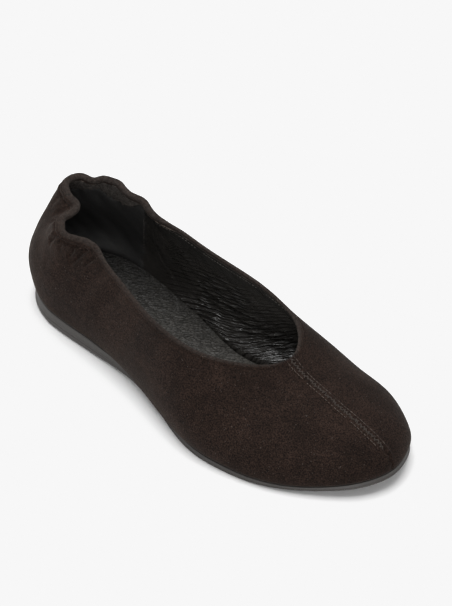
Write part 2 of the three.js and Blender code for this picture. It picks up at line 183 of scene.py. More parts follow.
# the lining swells over the insole low down: place, millimetres
BELLY = ((4.0, 2.0), (5.0, 6.0), (7.5, 6.0), (9.0, 2.0), (10.5, 3.0), (11.5, 5.0), (13.0, 7.0), (15.0, 6.0),
         (16.0, 3.6), (17.0, 1.4), (18.0, 2.6), (19.0, 6.0), (20.0, 8.2), (21.0, 8.6), (22.0, 6.0),
         (23.0, 2.0))

# folds of the lining on the inner side: half width, height, then corners as (place, height above the seat)
FOLDS = (
    (0.7, 0.70, ((16.62, 18.5), (16.80, 12.6), (17.03, 10.4), (17.20, 7.0))),
    (0.8, 0.60, ((17.30, 9.0), (17.65, 11.0), (18.00, 10.0), (18.40, 12.5))),
    (0.9, 0.80, ((17.60, 20.0), (17.95, 18.0), (18.45, 19.5), (18.95, 23.0), (19.45, 25.0))),
    (0.9, 0.80, ((18.00, 13.5), (18.50, 15.5), (19.00, 17.5), (19.60, 21.5), (20.10, 24.0))),
    (0.9, 0.85, ((18.60, 11.0), (19.10, 13.0), (19.60, 16.5), (20.10, 18.5), (20.70, 22.0))),
    (0.9, 0.80, ((19.20, 9.0), (19.80, 12.0), (20.30, 14.5), (20.90, 17.0), (21.40, 19.5))),
    (0.9, 0.70, ((19.90, 7.5), (20.50, 10.0), (21.00, 12.0), (21.60, 14.0))),
    (0.9, 0.70, ((17.80, 26.0), (18.30, 27.0), (18.80, 29.5), (19.20, 31.0))),
)

# side of the sole from the floor up: share of its height, set in, in millimetres
SOLE_SIDE = ((0.00, 0.75), (0.02, 0.35), (0.06, 0.0), (0.11, -0.28), (0.17, -0.44), (0.24, -0.5),
             (0.34, -0.5),
             (0.39, -0.46), (0.42, -0.28), (0.45, -0.16), (0.48, -0.28), (0.51, -0.40), (0.55, -0.36),
             (0.62, -0.22), (0.70, -0.1), (0.80, 0.0), (0.90, 0.05), (0.96, 0.16), (0.985, 0.3), (1.0, 0.6))

# hollows that heel and ball wear into the insole: depth, distance along, half width
WORN = ((0.5, 32, 26), (0.35, 176, 28))

# the seam wanders to the outer side over the toe: distance along, moved across
SEAM_WANDER = ((178, 0), (200, 0.5), (217, 1.2), (232, 1.9), (243, 1.8), (250, 1.4))


def natural_curve(rows, scale=LENGTH):
    """Natural cubic through (share, height) rows: second slopes from a tridiagonal system, ends straight."""
    x = np.array([r[0] for r in rows]) * scale
    y = np.array([r[1] for r in rows])
    h = np.diff(x)
    n = len(x)
    a = np.eye(n)
    b = np.zeros(n)
    for i in range(1, n - 1):
        a[i, i - 1:i + 2] = h[i - 1], 2 * (h[i - 1] + h[i]), h[i]
        b[i] = 6 * ((y[i + 1] - y[i]) / h[i] - (y[i] - y[i - 1]) / h[i - 1])
    m = np.linalg.solve(a, b)

    def value(q):
        q = np.asarray(q, float)
        i = np.clip(np.searchsorted(x, q) - 1, 0, n - 2)
        v = (q - x[i]) / h[i]
        u = 1 - v
        return u * y[i] + v * y[i + 1] + ((u**3 - u) * m[i] + (v**3 - v) * m[i + 1]) * h[i]**2 / 6

    return value


def closed_curve(points):
    """Closed cubic through points at whole places, with continuous bend all the way round."""
    n = len(points)
    a = 4 * np.eye(n) + np.roll(np.eye(n), 1, 0) + np.roll(np.eye(n), -1, 0)
    slope = np.linalg.solve(a, 3 * (np.roll(points, -1, 0) - np.roll(points, 1, 0)))

    def value(place):
        p = np.mod(place, n)
        i = np.floor(p).astype(int) % n
        j = (i + 1) % n
        t = (p - np.floor(p))[..., None]
        to_next = t * t * (3 - 2 * t)
        return (points[i] * (1 - to_next) + points[j] * to_next
                + slope[i] * t * (1 - t)**2 - slope[j] * t * t * (1 - t))

    return value


seat = natural_curve(SEAT_LINE)
crown = natural_curve(CROWN_LINE)
edge = natural_curve(EDGE_LINE)
_outer = OUTLINE[:, [0, 1, 4]] * (LENGTH, BALL, LENGTH)
_inner = OUTLINE[:, [2, 3, 4]] * (LENGTH, BALL, LENGTH)
outline = closed_curve(np.vstack([_outer, _inner[-2:0:-1]]))


def hump(share, start, end):
    """Raised cosine of height 1 between two shares, 0 outside."""
    wave = 0.5 - 0.5 * np.cos(2 * np.pi * (share - start) / (end - start))
    return np.where((share > start) & (share < end), wave, 0.0)


def soft(value, low, high):
    """0 below low, 1 above high, and a smooth cubic between."""
    t = np.clip((value - low) / (high - low), 0, 1)
    return t * t * (3 - 2 * t)


def bell(value, middle, wide):
    """Bell of height 1: e to the minus square of the distance from its middle over its half width."""
    return np.exp(-((value - middle) / wide)**2)


def bells(value, rows):
    """Sum of bells given as (height, middle, half width)."""
    return sum(high * bell(value, middle, wide) for high, middle, wide in rows)


def from_table(rows, place, beyond=None):
    """Columns of a table read by its first one, straight between rows; outside, `beyond` or the end rows."""
    table = np.array(rows)
    return [np.interp(place, table[:, 0], column, beyond, beyond) for column in table[:, 1:].T]


def unit(vectors):
    """Vectors brought to length 1."""
    return vectors / np.linalg.norm(vectors, axis=-1, keepdims=True)


def lengths(line):
    """Distance along a polyline from its first corner to each corner."""
    return np.concatenate([[0], np.cumsum(np.linalg.norm(np.diff(line, axis=0), axis=1))])


def read_at(q, steps, field):
    """Rows of a field that stand at the given steps, read at distances q, straight between them."""
    return np.stack([np.interp(q, steps, field[:, k]) for k in range(3)], -1)


def halve(past, low, high, times):
    """Narrows low and high down to where `past` turns true, by halving."""
    for _ in range(times):
        middle = (low + high) / 2
        over = past(middle)
        low, high = np.where(over, low, middle), np.where(over, middle, high)
    return low, high


def underside(x):
    """Floor side of the sole: a low arch at the waist and a power curve up to the toe."""
    share = x / LENGTH
    return ARCH * hump(share, 0.24, 0.6) + SPRING * np.clip((share - 0.76) / 0.24, 0, None)**1.8


def outward(place):
    """Unit direction in plan, square to the outline and away from the shoe."""
    d = outline(place + 0.01)[..., :2] - outline(place - 0.01)[..., :2]
    return unit(np.stack([-d[..., 1], d[..., 0]], -1))


class Rays:
    """Rays of the last at the given places: each starts at the sole's edge and leans in to the crown."""

    def __init__(self, place):
        self.place = np.asarray(place, float)
        e = outline(self.place)
        self.x, self.y, self.crown_x = e[..., 0], e[..., 1], e[..., 2]
        self.crown_y = CROWN_SET * BALL * np.clip((self.crown_x / LENGTH - 0.3) / 0.6, 0, 1.2)
        self.crown_z = crown(self.crown_x)
        self.z = seat(self.x) + GAP
        self.reach = np.hypot(self.x - self.crown_x, self.y - self.crown_y)
        self.ux = (self.x - self.crown_x) / self.reach
        self.uy = (self.y - self.crown_y) / self.reach
        self.lean = -self.ux * (crown(self.crown_x + 0.01) - crown(self.crown_x - 0.01)) / 0.02

    def at(self, angle):
        """Sheared quarter ellipse from the sole (angle 0) to the crown (a quarter turn), swollen low down."""
        c = np.cos(angle)
        inward = self.reach * (1 - c)
        rise = (self.crown_z - self.z - self.lean * self.reach) * np.sin(angle) + self.lean * inward
        full = rise / SWELL_AT
        out = self.reach * c + SWELL * full * np.exp(1 - full) * c
        return np.stack([self.crown_x + self.ux * out, self.crown_y + self.uy * out, self.z + rise], -1)

    def edge_height(self, x):
        """Height of the top edge at x, a little higher on the inner side of the foot."""
        return edge(x) + np.where(self.place > HEEL, INNER_RISE * hump(x / LENGTH, 0.33, 0.67), 0)

    def top_angle(self):
        """Angle where the ray meets the top edge, by halving; a quarter turn where the vamp is closed."""
        quarter = np.full(self.place.shape, np.pi / 2)

        def past(angle):
            p = self.at(angle)
            return p[..., 2] - self.edge_height(p[..., 0]) > 0

        high = halve(past, np.zeros_like(quarter), quarter, 40)[1]
        return np.where(past(quarter), high, quarter)


def find_throat():
    """Place where the closed vamp ends, by halving."""
    def opened(place):
        return Rays([place]).top_angle()[0] < np.pi / 2

    return float(halve(opened, 3.0, 6.0, 50)[0])


THROAT_PLACE = find_throat()
_gathered = [natural_curve([(row[0], row[k]) for row in GATHERS], 1.0) for k in (1, 2, 3)]


def gather(place, depth):
    """Move of the heel edge: a natural cubic along it, dying away with the square of the depth below it."""
    fade = bell(depth, 0, FOLD_DEEP) * ((place > GATHERS[0][0]) & (place < GATHERS[-1][0]))
    return np.stack([curve(place + 0 * depth) * fade for curve in _gathered], -1)


def centre_line():
    """The centre seam: up the toe from the sole, then back along the crown to the throat."""
    toe = Rays(np.zeros(41)).at(np.linspace(0, np.pi / 2, 41))
    vamp = Rays(np.linspace(0, THROAT_PLACE, 121)[1:])
    return np.vstack([toe, vamp.at(np.full(120, np.pi / 2))])


def distance_to_line(points, line):
    """Least distance from each point to a polyline, and how far along the line it is met."""
    flat = points.reshape(-1, 3)
    a, d = line[:-1], np.diff(line, axis=0)
    dd = (d * d).sum(1) + 1e-12
    before = np.concatenate([[0], np.cumsum(np.sqrt(dd))])[:-1]
    best = np.full(len(flat), np.inf)
    along = np.zeros(len(flat))
    for k in range(len(a)):
        t = np.clip(((flat - a[k]) @ d[k]) / dd[k], 0, 1)
        away = np.linalg.norm(flat - a[k] - t[:, None] * d[k], axis=1)
        near = away < best
        best = np.where(near, away, best)
        along = np.where(near, before[k] + t * math.sqrt(dd[k]), along)
    return best.reshape(points.shape[:-1]), along.reshape(points.shape[:-1])


def spaced_places(step):
    """Places from toe to heel about `step` mm apart on the sole, closer at seam, throat and gathers."""
    s = np.linspace(0, HEEL, 4001)
    e = outline(s)
    rate = np.hypot(*np.gradient(e[:, :2], s, axis=0).T)
    need = np.maximum(rate / step, 2.2 * rate / step * bell(s, 0, 0.16))
    need *= 1 + 0.5 * soft(s, 8.8, 9.4)
    need += bells(s, ((34, THROAT_PLACE, 0.05), (12, THROAT_PLACE + 0.12, 0.16)))
    total = np.concatenate([[0], np.cumsum((need[1:] + need[:-1]) / 2 * np.diff(s))])

    def upto(a, b):
        ta, tb = np.interp([a, b], s, total)
        n = max(4, int(round(tb - ta)))
        return np.interp(np.linspace(ta, tb, n + 1), total, s)

    first = upto(0, THROAT_PLACE)
    return np.concatenate([first, upto(THROAT_PLACE, HEEL)[1:]]), len(first) - 1


def both_sides(half):
    """The half list of places, then its partners on the way back to the toe."""
    return np.concatenate([half, ROUND - half[1:-1][::-1]])


def ring_faces(low, high):
    """Faces between two rows of corners that run round the whole shoe."""
    return np.stack([low, high, np.roll(high, -1, 0), np.roll(low, -1, 0)], -1).reshape(-1, 4)


def turned(faces):
    """The faces seen from their other side, with the same first corner."""
    return faces[:, [0, 3, 2, 1]]


class Wall:
    """A grid over the last: one column for each place, rows from the sole to the top edge."""

    def __init__(self, step, rows):
        half, self.throat = spaced_places(step)
        self.place = both_sides(half)
        self.count = len(self.place)
        self.top = rows
        share = 1 - (1 - np.linspace(0, 1, rows + 1))**1.3
        index = np.arange(self.count)
        self.shut = (index <= self.throat) | (index >= self.count - self.throat)
        angle = np.where(self.shut, np.pi / 2, Rays(self.place).top_angle())
        base = Rays(np.repeat(self.place[:, None], rows + 1, 1)).at(angle[:, None] * share[None])
        seg = np.linalg.norm(np.diff(base, axis=1), axis=2)
        self.depth = np.concatenate([np.cumsum(seg[:, ::-1], 1)[:, ::-1], np.zeros((self.count, 1))], 1)
        self.height = self.depth[:, :1] - self.depth
        live = (~self.shut)[:, None] * soft(self.height, 0, 6)
        out, down = from_table(RIM, self.place)
        moved = np.column_stack([outward(self.place) * out[:, None], -down])[:, None]
        low = bell(self.height, 0, RIM_HIGH)[..., None] * moved
        self.points = base + gather(self.place[:, None], self.depth) * live[..., None] + low
        self.arc = lengths(outline(self.place)[:, :2])
        self.index = self.numbered(rows)
        self.normal = self.normals(self.points)

    def numbered(self, rows):
        """Corner numbers of a grid with so many rows; both sides of the closed vamp share its ridge."""
        own = np.arange(self.count)
        index = own[:, None] * (rows + 1) + np.arange(rows + 1)
        shared = np.where(own >= self.count - self.throat, self.count - own, own)
        index[:, rows] = shared * (rows + 1) + rows
        return index

    def quads(self, rows=None):
        """Corner numbers of the grid's faces, round the whole shoe, facing out."""
        rows = np.arange(self.top + 1) if rows is None else rows
        return ring_faces(self.index[:, rows[:-1]], self.index[:, rows[1:]])

    def normals(self, points):
        """Unit normals at the grid's corners, from the faces that meet there."""
        flat = points.reshape(-1, 3)
        q = self.quads()
        n = np.cross(flat[q[:, 2]] - flat[q[:, 0]], flat[q[:, 1]] - flat[q[:, 3]])
        total = np.zeros_like(flat)
        for k in range(4):
            np.add.at(total, q[:, k], -n)
        total /= np.linalg.norm(total, axis=1, keepdims=True) + 1e-12
        total = total[self.index].reshape(points.shape)
        total[:, 0, 2] = 0
        total[:, 0] = unit(total[:, 0])
        return total

    def at_depth(self, depth, field):
        """A field of the grid read along each column at depths below the top edge, straight between rows."""
        row = (self.depth[:, :, None] > depth[:, None, :]).sum(1) - 1
        row = np.clip(row, 0, self.top - 1)
        i = np.arange(self.count)[:, None]
        one, two = self.depth[i, row], self.depth[i, row + 1]
        t = np.clip((one - depth) / np.maximum(one - two, 1e-9), 0, 1)[..., None]
        return field[i, row] * (1 - t) + field[i, row + 1] * t

    def nearest(self, place):
        """Numbers of the columns that lie nearest to the places."""
        return np.abs(self.place[:, None] - np.atleast_1d(place)).argmin(0)

    def spot(self, place, depth):
        """Points outside at places on the way round and depths below the edge, from the nearest columns."""
        column = self.at_depth(np.broadcast_to(depth, (self.count, len(depth))), self.points)
        return column[self.nearest(place), np.arange(len(depth))]


def in_plan(place, share, inset):
    """Point of the plan: at share 1 inside the outline by the inset, at 0 on the centre line."""
    r = Rays(place)
    rim = np.stack([r.x, r.y], -1) - outward(place) * inset[:, None]
    crest = np.stack([r.crown_x, r.crown_y], -1)
    return crest + (rim - crest) * share


def waist_set(place):
    """How far the sole's edge lies inside the outline at the waist."""
    return WAIST_SET * hump(outline(place)[..., 0] / LENGTH, 0.27, 0.68)


def shift_to_frame():
    """Shift from the last's own origin to the frame's, from the rim of the CAD sole and its box."""
    place = both_sides(np.linspace(0, HEEL, 45))
    x, y = in_plan(place, 1.0, waist_set(place) - LIP).T
    low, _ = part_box("outsole")
    return np.array([low[0] * 1000 - x.min(), low[1] * 1000 - y.min(), 0.0])


SHIFT = shift_to_frame()


def make_mesh(name, points, faces, uv=None, data=None):
    """Mesh object from millimetre points, without unused corners and the extra side of a shut face."""
    used = np.unique(np.concatenate([f.ravel() for f in faces]))
    renumber = np.full(len(points), -1)
    renumber[used] = np.arange(len(used))
    loops = np.concatenate([renumber[f].ravel() for f in faces]).astype(np.int32)
    sizes = np.concatenate([np.full(len(f), f.shape[1]) for f in faces]).astype(np.int32)
    starts = np.concatenate([[0], np.cumsum(sizes)[:-1]]).astype(np.int32)
    mesh = bpy.data.meshes.new(name)
    mesh.vertices.add(len(used))
    mesh.vertices.foreach_set("co", ((points[used] + SHIFT) / 1000.0).ravel())
    mesh.loops.add(len(loops))
    mesh.loops.foreach_set("vertex_index", loops)
    mesh.polygons.add(len(sizes))
    mesh.polygons.foreach_set("loop_start", starts)
    mesh.polygons.foreach_set("loop_total", sizes)
    mesh.polygons.foreach_set("use_smooth", np.ones(len(sizes), bool))
    if uv is not None:
        layer = mesh.uv_layers.new(name="Lay")
        layer.data.foreach_set("uv", (uv[used][loops] / 1000.0).astype(np.float32).ravel())
    mesh.update(calc_edges=True)
    mesh.validate()
    for label, values in (data or {}).items():
        stored = mesh.attributes.new(label, "FLOAT", "POINT")
        stored.data.foreach_set("value", values[used].astype(np.float32))
    obj = bpy.data.objects.new(name, mesh)
    bpy.context.scene.collection.objects.link(obj)
    return obj


def finish_piece(obj, material, slot, *nodes):
    """Gives a piece its material, lets it ride on the shoe's body and stand for its CAD nodes."""
    obj.data.materials.append(material)
    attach(obj, "root")
    if nodes:
        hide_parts(*nodes)


def round_bars(name, spine, side, out, radius):
    """Closed bars, six corners round: a row of `spine` is the middle of one, with a radius at each point."""
    bars, rings, _ = spine.shape
    turn = (np.arange(6) * np.pi / 3)[:, None]
    ring = side[:, :, None] * np.cos(turn) + out[:, :, None] * np.sin(turn)
    points = (spine[:, :, None] + ring * radius[None, :, None, None]).reshape(-1, 3)
    row, k = np.meshgrid(np.arange(rings - 1) * 6, np.arange(6), indexing="ij")
    n = (k + 1) % 6
    sides = np.stack([row + k, row + n, row + 6 + n, row + 6 + k], -1).reshape(-1, 4)
    ends = np.stack([np.arange(6)[::-1], np.arange(6) + (rings - 1) * 6])
    first = (np.arange(bars) * rings * 6)[:, None, None]
    return make_mesh(name, points, [(sides + first).reshape(-1, 4), (ends + first).reshape(-1, 6)])


def threads(name, at, along, out, length, radius, arch):
    """Stitches: short round bars that taper to both ends, five rings each, bowed outwards by `arch`."""
    along = unit(along)
    side = unit(np.cross(along, out))
    out = np.cross(side, along)
    t = np.array([-0.5, -0.36, 0.0, 0.36, 0.5])[None, :, None]
    fat = np.array([0.45, 0.9, 1.0, 0.9, 0.45]) * radius
    spine = at[:, None] + along[:, None] * (t * length) + out[:, None] * (arch * (1 - 4 * t * t))
    return round_bars(name, spine, side[:, None], out[:, None], fat)


def heel_share(place):
    """1 along the gathered heel edge, sinking to 0 on both sides of it."""
    return soft(place, 8.9, 9.7) * (1 - soft(place, 16.5, 17.3))


def crease_relief(wall):
    """Each crease is a bell-shaped trough with lower ridges beside it, dying away at both ends."""
    total = np.zeros(wall.depth.shape)
    near = (wall.place > 6.4) & (wall.place < 18.2)
    for place_a, depth_a, place_b, depth_b, wide, deep in CREASES:
        share = np.linspace(0, 1, 7)
        line = wall.spot(place_a + (place_b - place_a) * share, depth_a + (depth_b - depth_a) * share)
        away, along = distance_to_line(wall.points[near], line)
        taper = np.clip(1 - (2 * along / lengths(line)[-1] - 0.75)**2 / 1.57, 0, 1)
        total[near] += deep * taper * bells(away, ((-1, 0, wide), (0.5, 1.9 * wide, 0.8 * wide)))
    return total


class Flat:
    """The wall with its relief and the thicknesses of its layers, worked out once for all pieces."""

    def __init__(self, step, rows):
        self.wall = wall = Wall(step, rows)
        rise = from_table(RISE, wall.place)[0][:, None] * bell(wall.depth, 0, RISE_DEEP)
        wall.points[..., 2] += rise * ~wall.shut[:, None]
        throat = wall.points[wall.throat, -1]
        rim = np.vstack([throat, wall.points[~wall.shut][:, -1], throat])
        thin = np.concatenate([rim[:-1:2], rim[-1:]])
        from_rim = distance_to_line(wall.points, thin)[0]
        self.away = np.minimum(from_rim, wall.depth + 400.0 * wall.shut[:, None])
        self.share = heel_share(wall.place)[:, None] * (~wall.shut)[:, None]
        self.face = from_table(FACING, wall.place)[0][:, None]
        self.seam, self.seam_out = self.seam_line()
        wall.points = wall.points + wall.normal * crease_relief(wall)[..., None]
        wall.normal = wall.normals(wall.points)
        relief = self.seam_relief() + self.edge_relief()
        self.outer = wall.points + wall.normal * relief[..., None]

    def seam_line(self):
        """The centre seam moved a little to the outer side over the toe, then laid on the wall again."""
        line = centre_line()
        line[:, 1] -= from_table(SEAM_WANDER, line[:, 0])[0]
        return self.lay(line, self.wall.points)

    def lay(self, spots, skin):
        """Spots moved along the normal of a skin's nearest corner until they lie on it, and those normals."""
        flat, out = skin.reshape(-1, 3), self.wall.normal.reshape(-1, 3)
        near = flat[:, 0] > spots[:, 0].min() - 4
        flat, out = flat[near], out[near]
        pick = np.array([((flat - spot)**2).sum(1).argmin() for spot in spots])
        n = out[pick]
        return spots - n * ((spots - flat[pick]) * n).sum(1, keepdims=True), n

    def seam_relief(self):
        """Height of the seam: a low band with sloping shoulders and a groove, zigzag near the sole."""
        points = self.wall.points
        away, along = distance_to_line(points, self.seam)
        steps = lengths(self.seam)
        q = np.concatenate([np.arange(0, 20, 0.4), steps[steps > 20]])
        line, out = (read_at(q, steps, field) for field in (self.seam, self.seam_out))
        side = np.cross(np.gradient(line, q, axis=0), out)
        zigzag = 4 * np.abs(np.mod(q / 4.6, 1) - 0.5) - 1
        swing = 0.85 * zigzag * (1 - soft(q, 13, 17)) * soft(q, 1, 3)
        groove = distance_to_line(points, line + side * swing[:, None])[0]
        band = 0.75 * (1 - soft(away, 1.9, SEAM_HALF + 0.4)) * soft(along, 2, 14)
        deep = 0.45 + 0.65 * (1 - soft(along, 8, 22))
        weave = 0.10 * np.sin(along * 4.8) * np.exp(-(away / 1.5)**4)
        return band + weave * soft(along, 4, 10) - deep * bell(groove, 0, GROOVE_HALF)

    def edge_relief(self):
        """The rolled heel edge stands over a groove, the plain edge over a finer one; below, it tucks in."""
        roll, plain = bells(self.away, ROLLED), bells(self.away, PLAIN)
        return roll * self.share + plain * (1 - self.share) - 0.7 * bell(self.wall.height, 0, 1.0)

    def fold_relief(self):
        """Soft ridges and troughs of the lining along lines of (place, height), shaped as the creases are."""
        wall = self.wall
        total = np.zeros(wall.depth.shape)
        for wide, deep, corners in FOLDS:
            place, height = np.array(corners).T
            spots = wall.spot(place, wall.depth[wall.nearest(place), 0] - height)
            near = (wall.place > place.min() - 0.6) & (wall.place < place.max() + 0.6)
            away, along = distance_to_line(wall.points[near], spots)
            u = along / lengths(spots)[-1]
            taper = np.clip(4 * u * (1 - u) * 1.6, 0, 1)
            total[near] += deep * taper * bells(away, ((1, 0, wide), (-0.6, 1.8 * wide, wide)))
        return total

    def facing_share(self):
        """1 on the facing inside the heel edge, less on the sides' turned edge, 0 behind the lining."""
        a, e = self.share, self.away
        heel = soft(e, 2.4, 3.6) * (1 - soft(e, self.face - 0.4, self.face + 0.2))
        sides = 0.6 * soft(e, 0.5, 1.0) * (1 - soft(e, 2.0, 2.4))
        return heel * a + sides * (1 - a)

    def suede_thickness(self):
        """Whole wall at the turned edge, the facing below it, then the suede alone behind the lining."""
        a, e, place = self.share, self.away, self.wall.place[:, None]
        turn_end = 2.0 + 0.9 * a
        wrinkle = (0.30 * np.sin(place * 24 + e * 0.7) + 0.22 * np.sin(place * 11 - e * 0.9)
                   + 0.15 * np.sin(place * 53 + 2 * e))
        at_edge = WALL + (CASING - WALL) * a
        at_face = WALL + (1.0 + wrinkle * soft(e, turn_end, turn_end + 3)) * a
        groove = 0.9 * a * bell(e, turn_end + 0.5, 0.45)
        t = at_edge + (at_face - at_edge) * soft(e, turn_end - 0.6, turn_end + 0.6) - groove
        return t + (SUEDE - t) * soft(e, self.face - 0.4, self.face + 0.2)


@lru_cache(maxsize=1)
def flat_of(step, rows):
    """The Flat that was worked out last, kept so that the pieces of one shoe share it."""
    return Flat(step, rows)


def build_suede(flat):
    """Closed suede shell: outer grid, half-round edge, inner grid offset by its thickness, strip below."""
    wall = flat.wall
    top, count = wall.top, wall.count
    size = count * (top + 1)
    inner = wall.points - wall.normal * flat.suede_thickness()[..., None]
    rows = np.unique(np.concatenate([np.arange(0, top - 34, 6), np.arange(top - 34, top - 16, 2),
                                     np.arange(top - 16, top + 1)]))
    low, rim = wall.index[:, 0], wall.index[:, top]
    faces = [wall.quads(), wall.quads(rows)[:, ::-1] + size, turned(ring_faces(low, low + size))]
    points = [flat.outer.reshape(-1, 3), inner.reshape(-1, 3)]
    # Mask that lightens the suede's colour. Its 0.22 along the outer top edge and 0.25 to 0.45 over the
    # rounded edge are a painted highlight; on the facing inside it gives the facing's lighter tone, partly
    # painted light for the shade there.
    facing = [(0.22 * (1 - soft(flat.away, 0.2, 1.2))).reshape(-1), flat.facing_share().reshape(-1)]
    upward = unit(wall.points[:, top] - wall.points[:, top - 1])
    centre, half = (flat.outer[:, top] + inner[:, top]) / 2, (flat.outer[:, top] - inner[:, top]) / 2
    upward *= np.linalg.norm(half, axis=1, keepdims=True) * 1.15
    rings = [rim]
    for k, turn in enumerate(np.linspace(0, np.pi, 9)[1:-1]):
        points.append(centre + half * math.cos(turn) + upward * math.sin(turn))
        facing.append(np.full(count, 0.25 + 0.2 * k / 6))
        rings.append(rim // (top + 1) + 2 * size + k * count)
    rings.append(rim + size)
    live = ~(wall.shut & np.roll(wall.shut, -1))
    faces += [ring_faces(one, two)[live] for one, two in zip(rings[:-1], rings[1:])]
    return make_mesh("upper_suede", np.vstack(points), faces, data={"facing": np.concatenate(facing)})


def build_lining(flat, rows=50):
    """Closed sheet between suede and foot, its top tucked into the turned edge, its foot swelling inwards."""
    wall = flat.wall
    count, place = wall.count, wall.place[:, None]
    share = 1 - (1 - np.linspace(0, 1, rows + 1))**1.2
    end = np.where(wall.shut, 0.0, 1.0)[:, None]
    depth = wall.depth[:, :1] + (end - wall.depth[:, :1]) * share
    fields = (wall.points, wall.normal, flat.away[..., None], flat.fold_relief()[..., None])
    skin, out, away, crease = (wall.at_depth(depth, field) for field in fields)
    out, away = unit(out), away[..., 0]
    height = wall.depth[:, :1] - depth
    ragged = 0.03 * np.sin(height * 0.8) + 0.02 * np.sin(height * 2.1)
    first, last = (place - spot - ragged for spot in COUNTER_ENDS)
    counter = soft(first, -0.04, 0.04) * (1 - soft(last, -0.04, 0.04))
    tuck = soft(away, flat.face - 0.1, flat.face + 0.5)
    belly = from_table(BELLY, place, 0)[0] * bell(height, 0, 8.5)
    ripple = np.sin(place * 9 + height * 0.35) * np.sin(height * 0.21 + 1.3 * place)
    wave = 0.30 * ripple * soft(height, 3, 10)
    near = 1.45 + (WALL - 1.40 + 0.5 * counter + belly + wave + crease[..., 0]) * tuck
    inner = skin - out * near[..., None]
    back = skin - out * (near - 0.35 * (1 - tuck) - np.maximum(near - 1.1, 0.35) * tuck)[..., None]
    index = wall.numbered(rows)
    size = count * (rows + 1)
    coarse = np.unique(np.append(np.arange(0, rows, 6), rows))
    live = ~(wall.shut & np.roll(wall.shut, -1))
    low, rim = index[:, 0], index[:, rows]
    faces = [
        ring_faces(index[:, :-1], index[:, 1:])[:, ::-1],
        ring_faces(index[:, coarse[:-1]], index[:, coarse[1:]]) + size,
        turned(ring_faces(low, low + size))[:, ::-1],
        turned(ring_faces(rim, rim + size))[live],
    ]
    half = count // 2 + 1
    along = np.interp(np.minimum(place, ROUND - place), wall.place[:half], wall.arc[:half])
    uv = np.stack([np.broadcast_to(along, height.shape), height], -1).reshape(-1, 2)
    matte = (counter * tuck).reshape(-1)
    # Share that grows away from the top edge. It places the lining's wrinkles, and it lightens the lining
    # lower down as painted light.
    away_from_edge = soft(away, flat.face + 5.0, flat.face + 15.0).reshape(-1)
    points = np.vstack([inner.reshape(-1, 3), back.reshape(-1, 3)])
    data = {"matte": np.tile(matte, 2), "away_from_edge": np.tile(away_from_edge, 2)}
    return make_mesh("upper_lining", points, faces, uv=np.vstack([uv, uv]), data=data)


def plate(name, steps, rings):
    """Closed plate from rings of (share, inset, height function), the first and last on the centre line."""
    place = both_sides(np.linspace(0, HEEL, steps + 1))
    own = np.arange(len(place))
    shared = np.where(own > steps, len(place) - own, own)
    down = from_table(RIM, place)[1]
    points, index = [], []
    for k, (share, inset, height) in enumerate(rings):
        plan = in_plan(place, share, inset(place))
        points.append(np.column_stack([plan, height(plan[:, 0], down)]))
        index.append((shared if share == 0 else own) + k * len(place))
    faces = [ring_faces(low, high) for low, high in zip(index[:-1], index[1:])]
    return make_mesh(name, np.vstack(points), faces)


def build_sole():
    """Sole: the plan shrunk to its centre line above and below, with a rounded, grooved side between."""
    def level(share, full=0.0):
        def height(x, down):
            top = seat(x) - down * (1 - full)
            return underside(x) + (top - underside(x)) * share
        return height

    def inset(amount):
        return lambda place: waist_set(place) + amount - from_table(RIM, place)[0]

    rings = [(s, inset(0.75), level(0)) for s in np.linspace(0, 1, 14)[:-1]]
    rings += [(1.0, inset(i), level(v)) for v, i in SOLE_SIDE]
    rings += [(s, inset(2.4), level(1, 1)) for s in np.linspace(1, 0, 8)]
    return plate("sole", 320, rings)


def build_insole():
    """Insole: the plan inside the wall, with a rounded upper edge and a shallow heel cup and ball print."""
    def lift(high, away_from_edge=0.0):
        return lambda x, down: seat(x) + GAP + high - bells(x, WORN) * away_from_edge

    def inset(amount):
        return lambda place: place * 0 + WALL + GAP + amount

    rings = [(s, inset(0.0), lift(0)) for s in np.linspace(0, 1, 8)]
    for turn in np.linspace(0, np.pi / 2, 6):
        low = SOCK - SOCK_ROUND * (1 - math.sin(turn))
        rings.append((1.0, inset(SOCK_ROUND * (1 - math.cos(turn))), lift(low)))
    rings += [(s, inset(SOCK_ROUND), lift(SOCK, 1 - s**2)) for s in np.linspace(1, 0, 24)[1:]]
    return plate("insole_leather", 320, rings)


def scattered(count, start):
    """Uneven numbers from -1 to 1: what is left of a steep sine after its whole part."""
    return 2 * np.modf(np.abs(np.sin(np.arange(count) * 12.9898 + start) * 43758.5453))[0][:, None] - 1


def build_seam_threads(flat):
    """Two rows of stitches beside the centre seam, stopping short of the sole, and a zigzag across it."""
    steps = lengths(flat.seam)

    def read(start, pitch):
        d = np.arange(start, steps[-1] - 0.6, pitch)
        spot, normal = flat.lay(read_at(d, steps, flat.seam), flat.wall.points)
        ahead = unit(read_at(d + 1.0, steps, flat.seam) - read_at(d - 1.0, steps, flat.seam))
        return spot, ahead, np.cross(ahead, normal)

    spot, ahead, side = read(16.0, STITCH_PITCH)
    wide = STITCH_SET + 0.5 * soft(np.arange(len(spot)) / len(spot), 0.8, 1.0)[:, None]
    on, normal = flat.lay(np.vstack([spot - side * wide, spot + side * wide]), flat.outer)
    rows = threads("seam_stitches", on, np.vstack([ahead, ahead]), normal, 1.9, 0.2, 0.12)
    spot, ahead, side = read(14.5, ZIGZAG_PITCH)
    longer, wider, across, along, up = (scattered(len(spot), k) for k in range(1, 6))
    flip = np.where(np.arange(len(spot)) % 2 == 0, 1.0, -1.0)[:, None]
    lie = ahead * (0.85 + 0.65 * longer) + side * flip * (1 + 0.35 * wider)
    spot = spot + side * 0.55 * across + ahead * 0.3 * along
    normal = flat.lay(spot, flat.outer)[1]
    zigzag = threads("seam_zigzag", spot + normal * (0.5 + 0.1 * up), lie, normal, 2.3, 0.38, 0.16)
    return rows, zigzag


